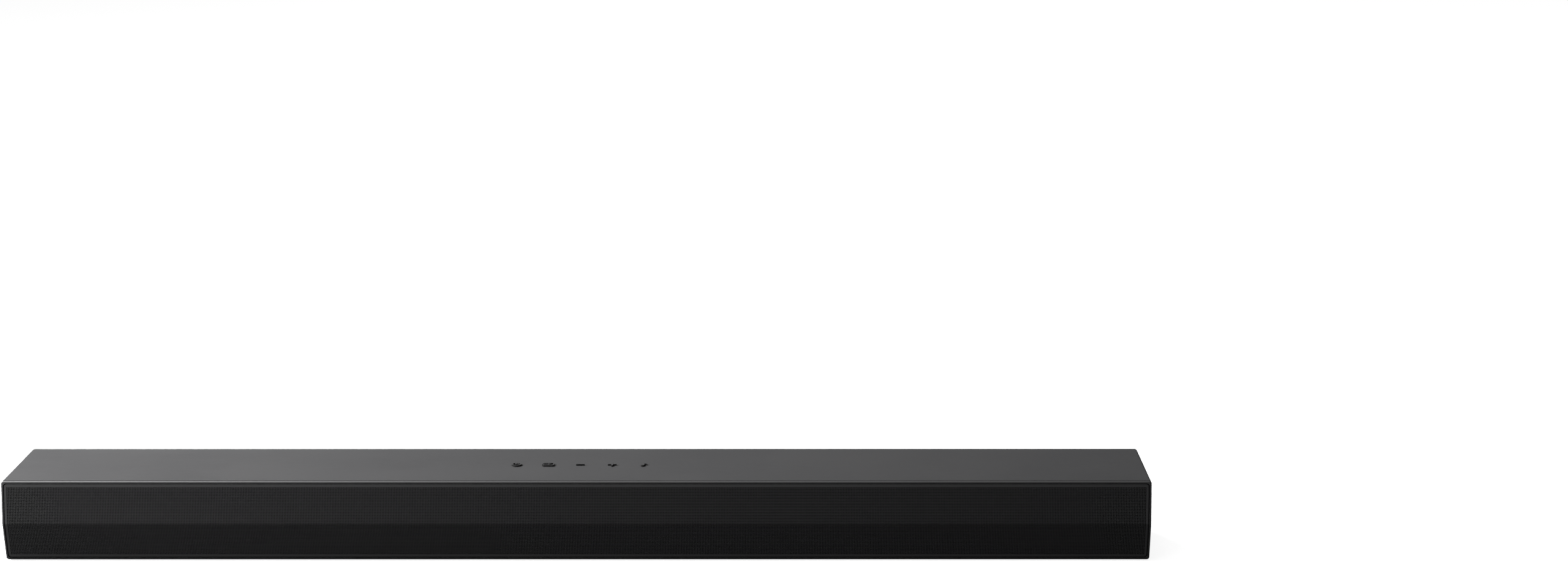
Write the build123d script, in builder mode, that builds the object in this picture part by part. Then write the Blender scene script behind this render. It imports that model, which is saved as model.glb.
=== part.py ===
from build123d import *
import os

# Soundbar: a long, low loudspeaker that stands in front of a television.
# X runs along the bar, +Y towards its rear and +Z up. The origin is the middle of its footprint, on
# the surface that its feet stand on. Millimetres.
#
# A sleeve-like top cover carries the top, the sides and the front rim. A base tray closes the bottom,
# and a rear panel the rear, with the bay of the connectors in it. The front is folded outwards to a
# ridge: the grille, its cloth and their carrier all follow that fold. Behind it a baffle holds three
# oval drivers, each in its own chamber. Five keys shaped as their symbols rise through the top.

os.makedirs("parts", exist_ok=True)

# ---- Overall size ----
length = 850.0
depth = 87.0
height = 63.4
foot_proud = 1.2  # the feet below the cabinet
key_proud = 1.2  # the keys above the cabinet
nose = 4.3  # the ridge ahead of the front's top and bottom edges
ridge_z = 30.5

base_z = foot_proud
top_z = height - key_proud
cabinet_h = top_z - base_z
mid_z = (top_z + base_z) / 2
ridge_y = -depth / 2
rim_y = ridge_y + nose
rear_y = depth / 2

# ---- Cabinet ----
wall = 2.0
corner_r = 2.0  # the long edges, seen from the front
opening_r = 2.6  # corners of the front opening
rim_t = 1.5  # the rim round the grille is thinner than the walls behind it
front_edge_r = 1.2
rear_edge_r = 1.2
ceiling_z = top_z - wall
floor_z = base_z + wall
inner_x = length / 2 - wall
front_strip = 8.0  # depth of the rim's lower strip, ahead of the tray
groove_back = 2.0  # the fine line round the cabinet, behind its front edge
groove_w, groove_deep = 0.7, 0.7
side_lip = 0.8  # of the cover's bottom, each side of the tray
tray_gap = 0.3
panel_gap = 0.15  # round the rear panel's openings and under it
tray_rear_y = rear_y - 0.5

# ---- Screw bosses that join the cover to the tray; the front row also holds the baffle ----
boss_r, pilot_r, pilot_deep = 3.5, 1.5, 16.0
boss_x = (120.0, 204.0, 413.0)
front_boss_y, rear_boss_y = -26.0, 33.0
boss_places = [(s * x, y) for x in boss_x for s in (-1, 1) for y in (front_boss_y, rear_boss_y)]

# ---- Front grille, cloth and carrier: setbacks are measured behind the rim's folded front ----
grille_gap = 0.5
grille_setback, grille_t = 0.2, 0.8
grille_w = length - 2 * (rim_t + grille_gap)
grille_h = cabinet_h - 2 * (rim_t + grille_gap)
grille_r = 2.2
grille_flange_y = -34.5
cloth_setback, cloth_t = 1.1, 0.4
carrier_setback, carrier_t = 1.6, 2.5
carrier_fit = 0.3
carrier_border = 4.0
carrier_rib_w = 3.0
carrier_rib_x = (75.0, 130.0, 200.0, 270.0, 404.0)
peg_r, peg_hole_r, peg_len = 2.0, 2.15, 7.5
peg_x, peg_z = (130.0, 270.0), (14.0, 49.0)

# ---- Baffle and chambers ----
screw_r, screw_head_r, screw_head_t, screw_len = 1.2, 2.6, 1.6, 8.0
baffle_y, baffle_t = -33.0, 2.5
baffle_w, baffle_h = 845.4, 56.4
baffle_back = baffle_y + baffle_t
baffle_screw_z = 45.0
side_driver_x = 340.0
chamber_wall = 2.0
chamber_low_z, chamber_high_z = 5.5, 58.0
side_chamber_low_x, side_chamber_high_x = 212.0, 404.0
side_chamber_back = 24.0
center_chamber_half = 72.0
center_chamber_back = -8.5

# ---- Drivers: ovals, their ends' radii; depths are measured from the back of the frame's flange ----
gasket_t = 0.5
straight = 57.0
flange_w, flange_h, flange_r, flange_t = 104.0, 46.0, 6.0, 1.5
frame_r, frame_wall, frame_deep = 18.0, 1.5, 9.0
hole_r = frame_r + 0.5
driver_screw_x, driver_screw_z = 47.5, 18.5
roll_mid_r, roll_r, rubber_t = 13.75, 2.25, 0.5
lip_out_r, lip_in_r = 18.4, 9.7
cone_r, cone_t, cone_floor_r, cone_floor_d = 11.4, 0.8, 7.4, 2.8
cap_r, cap_high = 5.4, 1.8
former_r, former_in_r, former_end = 7.1, 6.7, 15.6
coil_r, coil_start, coil_len = 7.5, 9.3, 4.8
spider_r, spider_d, spider_t = 15.2, 7.0, 0.4
landing_in_r = 13.6
motor_r, plate_t, magnet_t = 15.0, 2.5, 5.0
plate_hole_r, magnet_hole_r, pole_r = 7.9, 9.0, 6.4

# ---- Leads ----
lead_r, lead_bend, lead_hole_r = 1.2, 4.0, 1.6
lead_z, side_lead_x, side_lead_y, center_lead_x = 40.0, 97.0, 12.0, -58.0
led_x, led_z, led_lead_r, led_lead_y = 89.0, 36.0, 0.8, 6.0

# ---- Keys ----
key_pitch = 24.0
key_play = 0.15  # between a symbol and its hole in the cover
key_plate, key_plate_t, key_plate_r = 12.0, 1.2, 1.5
key_lift = 0.1  # under the ceiling
key_board_top, key_board_t = 54.0, 1.6
key_board_w, key_board_d = 132.0, 13.0
key_post_x, key_post_r = 60.0, 2.5
switch_w, switch_h = 6.0, 3.4
plunger_r, plunger_hole_r, plunger_top, plunger_h = 1.7, 1.85, 58.1, 1.5
plunger_hole_deep = 1.6

# ---- Connector recess and electronics ----
recess_w, recess_low, recess_high, recess_floor_y = 132.0, 8.0, 32.0, 29.0
recess_wall = 2.0
board_top, board_t = 13.0, 1.6
board_w, board_y0, board_y1 = 220.0, -6.0, 26.6
standoff_x, standoff_y, standoff_r = 104.0, (-1.0, 21.0), 3.0
socket_front = 1.0  # the sockets stand this far out of the recess's floor
dc_x, optical_x, hdmi_x, usb_x = -45.0, -14.0, 15.0, 45.0
insert_x, insert_r, insert_hole_r, insert_deep = 260.0, 3.0, 1.65, 8.0
foot_x, foot_y, foot_w, foot_d, foot_sunk = 372.0, (-20.0, 31.0), 40.0, 9.0, 0.6


def save(piece, name):
    """Labels a finished piece and writes it as parts/NAME.step."""
    piece.part.label = name
    export_step(piece.part, f"parts/{name}.step")


def upright(y):
    """An upright plane at that depth: sketches are X by Z, and extrude towards the front."""
    return Plane.XZ.offset(-y)


def front_y(z):
    """Depth of the folded front at that height."""
    if z > ridge_z:
        return ridge_y + nose * (z - ridge_z) / (top_z - ridge_z)
    return ridge_y + nose * (ridge_z - z) / (ridge_z - base_z)


def behind_front(setback, back_y, past=4.0):
    """Sketch of all that lies behind the folded front, set back, as far as back_y."""
    low, high = base_z - past, top_z + past
    with BuildSketch(Plane.YZ) as side:
        with BuildLine():
            Polyline(
                (back_y, low),
                (front_y(low) + setback, low),
                (ridge_y + setback, ridge_z),
                (front_y(high) + setback, high),
                (back_y, high),
                close=True,
            )
        make_face()
    return side.sketch


def folded_slab(setback, thickness):
    """Sketch of a slab of that thickness that follows the folded front."""
    low, high = base_z - 4.0, top_z + 4.0
    front = [(front_y(low) + setback, low), (ridge_y + setback, ridge_z), (front_y(high) + setback, high)]
    back = [(y + thickness, z) for y, z in reversed(front)]
    with BuildSketch(Plane.YZ) as side:
        with BuildLine():
            Polyline(*front, *back, close=True)
        make_face()
    return side.sketch


# ================= Keys' symbols =================
# Each is drawn about its own centre, X along the bar and Y to the rear.


def power_symbol():
    """A ring open at the rear with a bar in the opening."""
    Circle(3.7)
    Circle(2.7, mode=Mode.SUBTRACT)
    with Locations((0, 3.0)):
        Rectangle(2.9, 3.4, mode=Mode.SUBTRACT)
    with Locations((0, 2.2)):
        Rectangle(1.0, 3.6)


def input_symbol():
    """A frame open on its left with an arrow that enters it."""
    RectangleRounded(8.6, 6.4, 1.3)
    RectangleRounded(6.8, 4.6, 0.5, mode=Mode.SUBTRACT)
    with Locations((-4.0, 0)):
        Rectangle(2.4, 3.0, mode=Mode.SUBTRACT)
    with Locations((-2.2, 0)):
        Rectangle(5.2, 0.9)
    Polygon((-0.2, -1.5), (2.1, 0), (-0.2, 1.5), align=None)


def minus_symbol():
    RectangleRounded(6.4, 1.3, 0.4)


def plus_symbol():
    RectangleRounded(6.6, 1.3, 0.4)
    RectangleRounded(1.3, 6.6, 0.4)


def note_symbol():
    """A music note, on the key that pairs a player."""
    with Locations((-1.05, -2.1)):
        Circle(1.3)
    with Locations((-0.15, 0.5)):
        Rectangle(0.9, 5.4)
    Polygon((-0.6, 3.2), (-0.6, 1.6), (2.3, 0.2), (2.3, 1.4), align=None)


def drawn(symbol):
    """The sketch of one symbol, about its own centre."""
    with BuildSketch() as shape:
        symbol()
    return shape.sketch


keys = [
    ("power", power_symbol, -2 * key_pitch),
    ("input", input_symbol, -key_pitch),
    ("volume_down", minus_symbol, 0.0),
    ("volume_up", plus_symbol, key_pitch),
    ("pairing", note_symbol, 2 * key_pitch),
]

# ================= Casing =================

with BuildPart() as top_cover:
    with BuildSketch(upright(rear_y)):
        with Locations((0, mid_z)):
            RectangleRounded(length, cabinet_h, corner_r)
    extrude(amount=depth)
    extrude(behind_front(0, rear_y + 5), amount=length, both=True, mode=Mode.INTERSECT)
    folded = faces().sort_by(Axis.Y)[:2]
    ridge_line = folded.edges().filter_by(Axis.X).sort_by(Axis.Y)[0]
    rim_edges = [e for e in folded.edges() if e.center().Y > ridge_line.center().Y + 0.01]
    fillet(rim_edges, front_edge_r)
    rear_face = faces().sort_by(Axis.Y)[-1]
    fillet(rear_face.edges(), rear_edge_r)
    # The hollow inside, and the bottom that the tray closes.
    with BuildSketch(upright(rear_y)):
        with Locations((0, mid_z)):
            RectangleRounded(2 * inner_x, cabinet_h - 2 * wall, opening_r)
    extrude(amount=depth + 1, mode=Mode.SUBTRACT)
    with BuildSketch(upright(grille_flange_y + 0.3)):
        with Locations((0, mid_z)):
            RectangleRounded(length - 2 * rim_t, cabinet_h - 2 * rim_t, opening_r)
    extrude(amount=depth, mode=Mode.SUBTRACT)
    with Locations((0, rim_y + front_strip, base_z - 1)):
        Box(
            2 * (inner_x - side_lip), depth, wall + opening_r + 2,
            align=(Align.CENTER, Align.MIN, Align.MIN), mode=Mode.SUBTRACT,
        )
    # The fine line round the cabinet, just behind its front edge.
    with BuildSketch(upright(rim_y + groove_back + groove_w)):
        with Locations((0, mid_z)):
            Rectangle(length + 4, cabinet_h + 4)
            RectangleRounded(
                length - 2 * groove_deep, cabinet_h - 2 * groove_deep, corner_r - groove_deep,
                mode=Mode.SUBTRACT,
            )
    extrude(amount=groove_w, mode=Mode.SUBTRACT)
    # Bosses for the case screws; the front ones reach the baffle. Then posts for the key board.
    with BuildSketch(Plane.XY.offset(floor_z)):
        with Locations(*boss_places):
            Circle(boss_r)
        for x in boss_x:
            with Locations((x, (baffle_back + front_boss_y) / 2), (-x, (baffle_back + front_boss_y) / 2)):
                Rectangle(2 * boss_r, front_boss_y - baffle_back)
    extrude(amount=ceiling_z - floor_z)
    with BuildSketch(Plane.XY.offset(floor_z)):
        with Locations(*boss_places):
            Circle(pilot_r)
    extrude(amount=pilot_deep, mode=Mode.SUBTRACT)
    with BuildSketch(upright(baffle_back + 7)):
        with Locations(*[(s * x, baffle_screw_z) for x in boss_x for s in (-1, 1)]):
            Circle(screw_r)
    extrude(amount=7, mode=Mode.SUBTRACT)
    with BuildSketch(Plane.XY.offset(key_board_top)):
        with Locations((-key_post_x, 0), (key_post_x, 0)):
            Circle(key_post_r)
    extrude(amount=ceiling_z - key_board_top)
    with BuildSketch(Plane.XY.offset(key_board_top)):
        with Locations((-key_post_x, 0), (key_post_x, 0)):
            Circle(1.1)
    extrude(amount=5, mode=Mode.SUBTRACT)
    # Holes that the keys' symbols rise through.
    for name, symbol, x in keys:
        with BuildSketch(Plane.XY.offset(ceiling_z)):
            with Locations((x, 0)):
                add(offset(drawn(symbol), amount=key_play, kind=Kind.INTERSECTION, mode=Mode.PRIVATE))
        extrude(amount=wall, mode=Mode.SUBTRACT)
save(top_cover, "top_cover")

sockets = {  # centre x, opening width, opening height above the board
    "dc": (dc_x, 9.6, 11.3),
    "optical": (optical_x, 10.6, 10.3),
    "hdmi": (hdmi_x, 15.8, 6.5),
    "usb": (usb_x, 13.8, 7.0),
}
recess_mid_z = (recess_low + recess_high) / 2
recess_h = recess_high - recess_low
tray_front_y = rim_y + front_strip + tray_gap
tray_w = 2 * (inner_x - side_lip - tray_gap)

with BuildPart() as base_tray:
    with BuildSketch(Plane.XY.offset(base_z)):
        with Locations((0, (tray_front_y + tray_rear_y) / 2)):
            Rectangle(tray_w, tray_rear_y - tray_front_y)
    extrude(amount=wall)
    # Standoffs under the main board.
    board_places = [(s * standoff_x, y) for s in (-1, 1) for y in standoff_y]
    with BuildSketch(Plane.XY.offset(floor_z)):
        with Locations(*board_places):
            Circle(standoff_r)
    extrude(amount=board_top - board_t - floor_z)
    with BuildSketch(Plane.XY.offset(floor_z + 1)):
        with Locations(*board_places):
            Circle(1.3)
    extrude(amount=board_top - board_t - floor_z, mode=Mode.SUBTRACT)
    # Ribs across the floor that stiffen it and stop short of the chambers.
    with BuildSketch(Plane.XY.offset(floor_z)):
        for x in (140.0, 162.0, 184.0):
            with Locations((x, 3), (-x, 3)):
                Rectangle(1.4, 60)
    extrude(amount=4)
    # Sunk holes for the case screws and pockets for the feet.
    with BuildSketch(Plane.XY.offset(base_z)):
        with Locations(*boss_places):
            Circle(3.4)
    extrude(amount=0.9, mode=Mode.SUBTRACT)
    with BuildSketch(Plane.XY.offset(base_z)):
        with Locations(*boss_places):
            Circle(1.7)
    extrude(amount=wall, mode=Mode.SUBTRACT)
    with BuildSketch(Plane.XY.offset(base_z)):
        with Locations(*[(s * foot_x, y) for s in (-1, 1) for y in foot_y]):
            SlotOverall(foot_w + 0.4, foot_d + 0.4)
    extrude(amount=foot_sunk, mode=Mode.SUBTRACT)
save(base_tray, "base_tray")

with BuildPart() as rear_panel:
    with BuildSketch(upright(tray_rear_y)):
        with Locations((0, mid_z)):
            RectangleRounded(
                2 * (inner_x - tray_gap), cabinet_h - 2 * (wall + tray_gap), opening_r - tray_gap
            )
        with Locations((0, floor_z + panel_gap)):
            Rectangle(tray_w, 3, align=(Align.CENTER, Align.MIN))
        with Locations((0, recess_mid_z)):
            RectangleRounded(
                recess_w + 2 * (recess_wall + panel_gap), recess_h + 2 * (recess_wall + panel_gap),
                4 + panel_gap, mode=Mode.SUBTRACT,
            )
    extrude(amount=wall)
    # Vents: a row of upright slots each side of the recess.
    with BuildSketch(upright(tray_rear_y)):
        for side in (-1, 1):
            with Locations((side * 116, 40)):
                with GridLocations(6.0, 0, 13, 1):
                    SlotOverall(12.0, 2.2, rotation=90)
    extrude(amount=wall, mode=Mode.SUBTRACT)
    # Bosses for the wall bracket's inserts.
    with BuildSketch(upright(tray_rear_y - wall)):
        with Locations((-insert_x, mid_z), (insert_x, mid_z)):
            Circle(5.5)
    extrude(amount=insert_deep)
    with BuildSketch(upright(tray_rear_y)):
        with Locations((-insert_x, mid_z), (insert_x, mid_z)):
            Circle(insert_r)
    extrude(amount=insert_deep, mode=Mode.SUBTRACT)
save(rear_panel, "rear_panel")

with BuildPart() as connector_bay:
    with BuildSketch(upright(tray_rear_y)):
        with Locations((0, recess_mid_z)):
            RectangleRounded(recess_w + 2 * recess_wall, recess_h + 2 * recess_wall, 4)
    extrude(amount=tray_rear_y - recess_floor_y + recess_wall)
    # Its flange, behind the panel.
    with BuildSketch(upright(tray_rear_y - wall)):
        with Locations((0, recess_mid_z)):
            RectangleRounded(recess_w + 2 * (recess_wall + 3), recess_h + 2 * recess_wall + 4, 4)
    extrude(amount=1.5)
    with BuildSketch(upright(tray_rear_y)):
        with Locations((0, recess_mid_z)):
            RectangleRounded(recess_w, recess_h, 3)
    extrude(amount=tray_rear_y - recess_floor_y, mode=Mode.SUBTRACT)
    rim = faces().sort_by(Axis.Y)[-1].inner_wires()[0].edges()
    fillet(rim, 0.8)
    for x, w, h in sockets.values():
        with BuildSketch(upright(recess_floor_y)):
            with Locations((x, board_top + h / 2 - 0.15)):
                RectangleRounded(w, h, 0.4)
        extrude(amount=recess_wall, mode=Mode.SUBTRACT)
save(connector_bay, "connector_bay")

with BuildPart() as rubber_feet:
    with BuildSketch():
        with Locations(*[(s * foot_x, y) for s in (-1, 1) for y in foot_y]):
            SlotOverall(foot_w, foot_d)
    extrude(amount=foot_proud + foot_sunk)
    fillet(faces().filter_by(Plane.XY).group_by(Axis.Z)[0].edges(), 0.5)
save(rubber_feet, "rubber_feet")

with BuildPart() as case_screws:
    for x, y in boss_places:
        with BuildSketch(Plane.XY.offset(base_z + 0.2)):
            with Locations((x, y)):
                Circle(2.9)
        extrude(amount=0.7)
        with BuildSketch(Plane.XY.offset(base_z + 0.9)):
            with Locations((x, y)):
                Circle(1.45)
        extrude(amount=10)
        with BuildSketch(Plane.XY.offset(base_z + 0.2)):
            with Locations((x, y)):
                Rectangle(3.2, 0.7)
                Rectangle(0.7, 3.2)
        extrude(amount=0.5, mode=Mode.SUBTRACT)
save(case_screws, "case_screws")

with BuildPart() as wall_inserts:
    with BuildSketch(upright(tray_rear_y)):
        with Locations((-insert_x, mid_z), (insert_x, mid_z)):
            Circle(insert_r)
            Circle(insert_hole_r, mode=Mode.SUBTRACT)
    extrude(amount=insert_deep)
save(wall_inserts, "wall_inserts")

# ================= Front =================

with BuildPart() as front_grille:
    with BuildSketch(upright(grille_flange_y)):
        with Locations((0, mid_z)):
            RectangleRounded(grille_w, grille_h, grille_r)
    extrude(amount=depth)
    extrude(behind_front(grille_setback, rear_y), amount=length, both=True, mode=Mode.INTERSECT)
    with BuildPart(mode=Mode.PRIVATE) as inside:
        with BuildSketch(upright(grille_flange_y)):
            with Locations((0, mid_z)):
                RectangleRounded(grille_w - 2 * grille_t, grille_h - 2 * grille_t, grille_r - grille_t)
        extrude(amount=depth)
        extrude(
            behind_front(grille_setback + grille_t, rear_y), amount=length, both=True, mode=Mode.INTERSECT
        )
    add(inside.part, mode=Mode.SUBTRACT)
save(front_grille, "front_grille")

inside_w = grille_w - 2 * (grille_t + carrier_fit)
inside_h = grille_h - 2 * (grille_t + carrier_fit)

with BuildPart() as acoustic_cloth:
    extrude(folded_slab(cloth_setback, cloth_t), amount=length, both=True)
    with BuildSketch(upright(rear_y)):
        with Locations((0, mid_z)):
            RectangleRounded(inside_w - 0.4, inside_h - 0.4, 1.0)
    extrude(amount=depth + 1, mode=Mode.INTERSECT)
save(acoustic_cloth, "acoustic_cloth")

with BuildPart() as grille_carrier:
    extrude(folded_slab(carrier_setback, carrier_t), amount=length, both=True)
    with BuildSketch(upright(rear_y)):
        with Locations((0, mid_z)):
            RectangleRounded(inside_w, inside_h, 1.0)
            Rectangle(inside_w - 2 * carrier_border, inside_h - 2 * carrier_border, mode=Mode.SUBTRACT)
        for x in carrier_rib_x:
            with Locations((x, mid_z), (-x, mid_z)):
                Rectangle(carrier_rib_w, inside_h - carrier_border)
    extrude(amount=depth + 1, mode=Mode.INTERSECT)
    # Pegs that press into the baffle.
    with BuildSketch(upright(baffle_y + baffle_t)):
        with Locations(*[(s * x, z) for s in (-1, 1) for x in peg_x for z in peg_z]):
            Circle(peg_r)
    extrude(amount=peg_len)
save(grille_carrier, "grille_carrier")

drivers = (("left", -side_driver_x), ("center", 0.0), ("right", side_driver_x))
driver_screw_places = [
    (x + sx * driver_screw_x, mid_z + sz * driver_screw_z)
    for _, x in drivers for sx in (-1, 1) for sz in (-1, 1)
]
baffle_screw_places = [(s * x, baffle_screw_z) for x in boss_x for s in (-1, 1)]

with BuildPart() as baffle:
    with BuildSketch(upright(baffle_back)):
        with Locations((0, mid_z)):
            RectangleRounded(baffle_w, baffle_h, opening_r)
        for _, x in drivers:
            with Locations((x, mid_z)):
                SlotOverall(straight + 2 * hole_r, 2 * hole_r, mode=Mode.SUBTRACT)
        with Locations(*driver_screw_places):
            Circle(screw_r, mode=Mode.SUBTRACT)
        with Locations(*baffle_screw_places):
            Circle(screw_r + 0.3, mode=Mode.SUBTRACT)
        with Locations(*[(s * x, z) for s in (-1, 1) for x in peg_x for z in peg_z]):
            Circle(peg_hole_r, mode=Mode.SUBTRACT)
        with Locations((led_x, led_z)):
            Circle(led_lead_r + 0.3, mode=Mode.SUBTRACT)
    extrude(amount=baffle_t)
save(baffle, "baffle")

with BuildPart() as front_screws:
    for places, under_head in (
        (driver_screw_places, baffle_y - gasket_t - flange_t), (baffle_screw_places, baffle_y)
    ):
        with BuildSketch(upright(under_head)):
            with Locations(*places):
                Circle(screw_head_r)
        extrude(amount=screw_head_t)
        with BuildSketch(upright(under_head + screw_len)):
            with Locations(*places):
                Circle(screw_r)
        extrude(amount=screw_len)
        with BuildSketch(upright(under_head - screw_head_t + 0.9)):
            with Locations(*places):
                Rectangle(2.6, 0.6)
                Rectangle(0.6, 2.6)
        extrude(amount=0.9, mode=Mode.SUBTRACT)
save(front_screws, "front_screws")


def chamber(x_low, x_high, back):
    """A box with rounded corners that is open towards the baffle."""
    middle = ((x_low + x_high) / 2, (chamber_low_z + chamber_high_z) / 2)
    w, h = x_high - x_low, chamber_high_z - chamber_low_z
    with BuildPart() as box:
        with BuildSketch(upright(back)):
            with Locations(middle):
                RectangleRounded(w, h, 4)
        extrude(amount=back - baffle_back)
        with BuildSketch(upright(back - chamber_wall)):
            with Locations(middle):
                RectangleRounded(w - 2 * chamber_wall, h - 2 * chamber_wall, 3)
        extrude(amount=back - chamber_wall - baffle_back, mode=Mode.SUBTRACT)
    return box.part


for side, s in (("left", -1), ("right", 1)):
    ends = sorted((s * side_chamber_low_x, s * side_chamber_high_x))
    with BuildPart() as side_chamber:
        add(chamber(*ends, side_chamber_back))
        with BuildSketch(Plane.YZ.offset(s * side_chamber_low_x)):
            with Locations((side_lead_y, lead_z)):
                Circle(lead_hole_r)
        extrude(amount=s * chamber_wall, mode=Mode.SUBTRACT)
    save(side_chamber, f"{side}_chamber")

with BuildPart() as center_chamber:
    add(chamber(-center_chamber_half, center_chamber_half, center_chamber_back))
    with BuildSketch(upright(center_chamber_back)):
        with Locations((center_lead_x, lead_z)):
            Circle(lead_hole_r)
    extrude(amount=chamber_wall, mode=Mode.SUBTRACT)
save(center_chamber, "center_chamber")

# ================= Drivers =================
# One of each piece is built about the middle of its flange's back, and then placed in each driver.

seat = Plane(origin=(0, 0, 0), x_dir=(1, 0, 0), z_dir=(0, 1, 0))
frame_floor_d = frame_deep + frame_wall
magnet_d = frame_floor_d + plate_t
yoke_d = magnet_d + magnet_t
# Sections of the round-ended pieces: X is the distance from the oval's middle line, Y points forwards.
section_plane = Plane(origin=(straight / 2, 0, 0), x_dir=(0, 0, 1), z_dir=(1, 0, 0))


def oval(r):
    SlotOverall(straight + 2 * r, 2 * r)


def round_the_oval(section):
    """The oval piece of that section: half of it, and the same half turned over."""
    with BuildPart() as half:
        extrude(section, amount=-straight)
        revolve(section, axis=Axis((straight / 2, 0, 0), (0, 1, 0)), revolution_arc=180)
    with BuildPart() as whole:
        add(half.part)
        add(half.part, rotation=(0, 180, 0))
    return whole.part


def coaxial(d, thickness, r, r_in=0.0):
    """A disc or ring about the driver's axis, from depth d on."""
    with BuildSketch(seat.offset(d)) as ring:
        Circle(r)
        if r_in > 0:
            Circle(r_in, mode=Mode.SUBTRACT)
    extrude(ring.sketch, amount=thickness)


with BuildPart() as gasket:
    with BuildSketch(seat):
        RectangleRounded(flange_w, flange_h, flange_r)
        oval_hole = SlotOverall(straight + 2 * hole_r, 2 * hole_r, mode=Mode.SUBTRACT)
        with GridLocations(2 * driver_screw_x, 2 * driver_screw_z, 2, 2):
            Circle(1.6, mode=Mode.SUBTRACT)
    extrude(amount=gasket_t)

with BuildPart() as frame:
    with BuildSketch(seat.offset(-flange_t)):
        RectangleRounded(flange_w, flange_h, flange_r)
        with GridLocations(2 * driver_screw_x, 2 * driver_screw_z, 2, 2):
            Circle(1.6, mode=Mode.SUBTRACT)
    extrude(amount=flange_t)
    with BuildSketch(seat):
        oval(frame_r)
    extrude(amount=frame_floor_d)
    with BuildSketch(seat.offset(-flange_t)):
        oval(frame_r - frame_wall)
    extrude(amount=flange_t + frame_deep, mode=Mode.SUBTRACT)
    coaxial(spider_d + spider_t, frame_deep - spider_d - spider_t, spider_r, landing_in_r)
    with BuildSketch(seat.offset(frame_deep)):
        Circle(landing_in_r - 1.6)
        with Locations((-31, 0), (31, 0)):
            SlotOverall(22, 14)
    extrude(amount=frame_wall, mode=Mode.SUBTRACT)

with BuildSketch(section_plane) as roll_section:
    with Locations((roll_mid_r, flange_t)):
        Circle(roll_r)
        Circle(roll_r - rubber_t, mode=Mode.SUBTRACT)
    with Locations((roll_mid_r, flange_t - roll_r)):
        Rectangle(3 * roll_r, 2 * roll_r, mode=Mode.SUBTRACT)
    roll_out, roll_in = roll_mid_r + roll_r - 0.2, roll_mid_r - roll_r + 0.2
    with Locations(((roll_out + lip_out_r) / 2, flange_t + rubber_t / 2)):
        Rectangle(lip_out_r - roll_out, rubber_t)
    with Locations(((roll_in + lip_in_r) / 2, flange_t + rubber_t / 2)):
        Rectangle(roll_in - lip_in_r, rubber_t)
surround = round_the_oval(roll_section.sketch)

with BuildSketch(section_plane) as cone_section:
    with BuildLine():
        Polyline(
            (0, cone_t - cone_floor_d), (cone_floor_r - 0.6, cone_t - cone_floor_d),
            (cone_r - 1.5, flange_t), (cone_r, flange_t), (cone_r, flange_t - 0.6),
            (cone_r - 1.1, flange_t - 0.6), (cone_floor_r, -cone_floor_d), (0, -cone_floor_d),
            close=True,
        )
    make_face()
cone_shell = round_the_oval(cone_section.sketch)
with BuildPart() as cone:
    add(cone_shell)
    with BuildSketch(Plane.XY) as cap_section:
        with BuildLine():
            cap_d = cone_floor_d - cone_t
            ThreePointArc((0, cap_d - cap_high), (cap_r * 0.55, cap_d - cap_high * 0.72), (cap_r, cap_d))
            Polyline((cap_r, cap_d), (cap_r, cap_d + cone_t / 2), (0, cap_d + cone_t / 2), (0, cap_d - cap_high))
        make_face()
    revolve(axis=Axis.Y)

with BuildPart() as voice_coil:
    coaxial(cone_floor_d, former_end - cone_floor_d, former_r, former_in_r)
    coaxial(coil_start, coil_len, coil_r, former_in_r)

with BuildPart() as spider:
    with BuildSketch(Plane.XY):
        ripple, steps = 0.5, 6
        pitch = (spider_r - 1.6 - former_r - 0.4) / steps
        waves = [(former_r + 0.4 + pitch * i, spider_d + (ripple if i % 2 else 0)) for i in range(steps + 1)]
        top = [(former_r, spider_d), *waves, (spider_r, spider_d)]
        low = [(r, d + spider_t) for r, d in reversed(top)]
        with BuildLine():
            Polyline(*top, *low, close=True)
        make_face()
    revolve(axis=Axis.Y)

with BuildPart() as magnet:
    coaxial(magnet_d, magnet_t, motor_r - 0.3, magnet_hole_r)

with BuildPart() as motor_steel:
    coaxial(frame_floor_d, plate_t, motor_r, plate_hole_r)
    coaxial(yoke_d, plate_t, motor_r)
    coaxial(frame_floor_d, yoke_d - frame_floor_d, pole_r)

driver_pieces = {
    "driver_frame": frame.part, "surround": surround, "cone": cone.part,
    "voice_coil": voice_coil.part, "spider": spider.part, "motor_steel": motor_steel.part,
}
for side, x in drivers:
    for kind, shape in driver_pieces.items():
        with BuildPart() as placed:
            with Locations((x, baffle_y - gasket_t, mid_z)):
                add(shape)
        save(placed, f"{side}_{kind}")

for shape, name in ((gasket.part, "driver_gaskets"), (magnet.part, "driver_magnets")):
    with BuildPart() as three:
        with Locations(*[(x, baffle_y - gasket_t, mid_z) for _, x in drivers]):
            add(shape)
    save(three, name)

# ================= Keys =================
stem_top = ceiling_z - key_lift - key_plate_t

for name, symbol, x in keys:
    with BuildPart() as key:
        with BuildSketch(Plane.XY.offset(stem_top)):
            with Locations((x, 0)):
                RectangleRounded(key_plate, key_plate, key_plate_r)
        extrude(amount=key_plate_t)
        with BuildSketch(Plane.XY.offset(stem_top + key_plate_t)):
            with Locations((x, 0)):
                add(drawn(symbol))
        extrude(amount=height - stem_top - key_plate_t)
        with BuildSketch(Plane.XY.offset(plunger_top)):
            with Locations((x, 0)):
                Circle(1.4)
        extrude(amount=stem_top - plunger_top)
    save(key, f"key_{name}")
    with BuildPart() as plunger:
        with BuildSketch(Plane.XY.offset(plunger_top - plunger_h)):
            with Locations((x, 0)):
                Circle(plunger_r)
        extrude(amount=plunger_h)
    save(plunger, f"plunger_{name}")

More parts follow.
